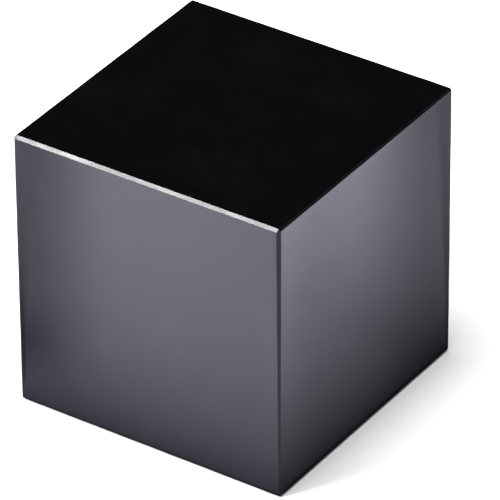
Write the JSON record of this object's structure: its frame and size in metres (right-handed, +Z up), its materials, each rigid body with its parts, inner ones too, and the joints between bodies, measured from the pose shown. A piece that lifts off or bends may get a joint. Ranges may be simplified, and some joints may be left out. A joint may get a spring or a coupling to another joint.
{
  "type": "mirror block cube",
  "caption": "Solid black glass cube with mirror-polished faces and fine hand-ground arrises, standing free on any face as an ornament, paperweight or mirror.",
  "frame": {"origin": "middle of the base face, on the surface that the block stands on", "axes": "+Z up out of the top face, +X out of the right face, +Y out of the back face"},
  "size_m": [0.05, 0.05, 0.05],
  "materials": {
    "black_glass": "opaque black glass, mirror-polished on the six faces and finely ground on the arrises"
  },
  "bodies": {
    "root": {"polished_block": "black_glass"}
  },
  "joints": []
}
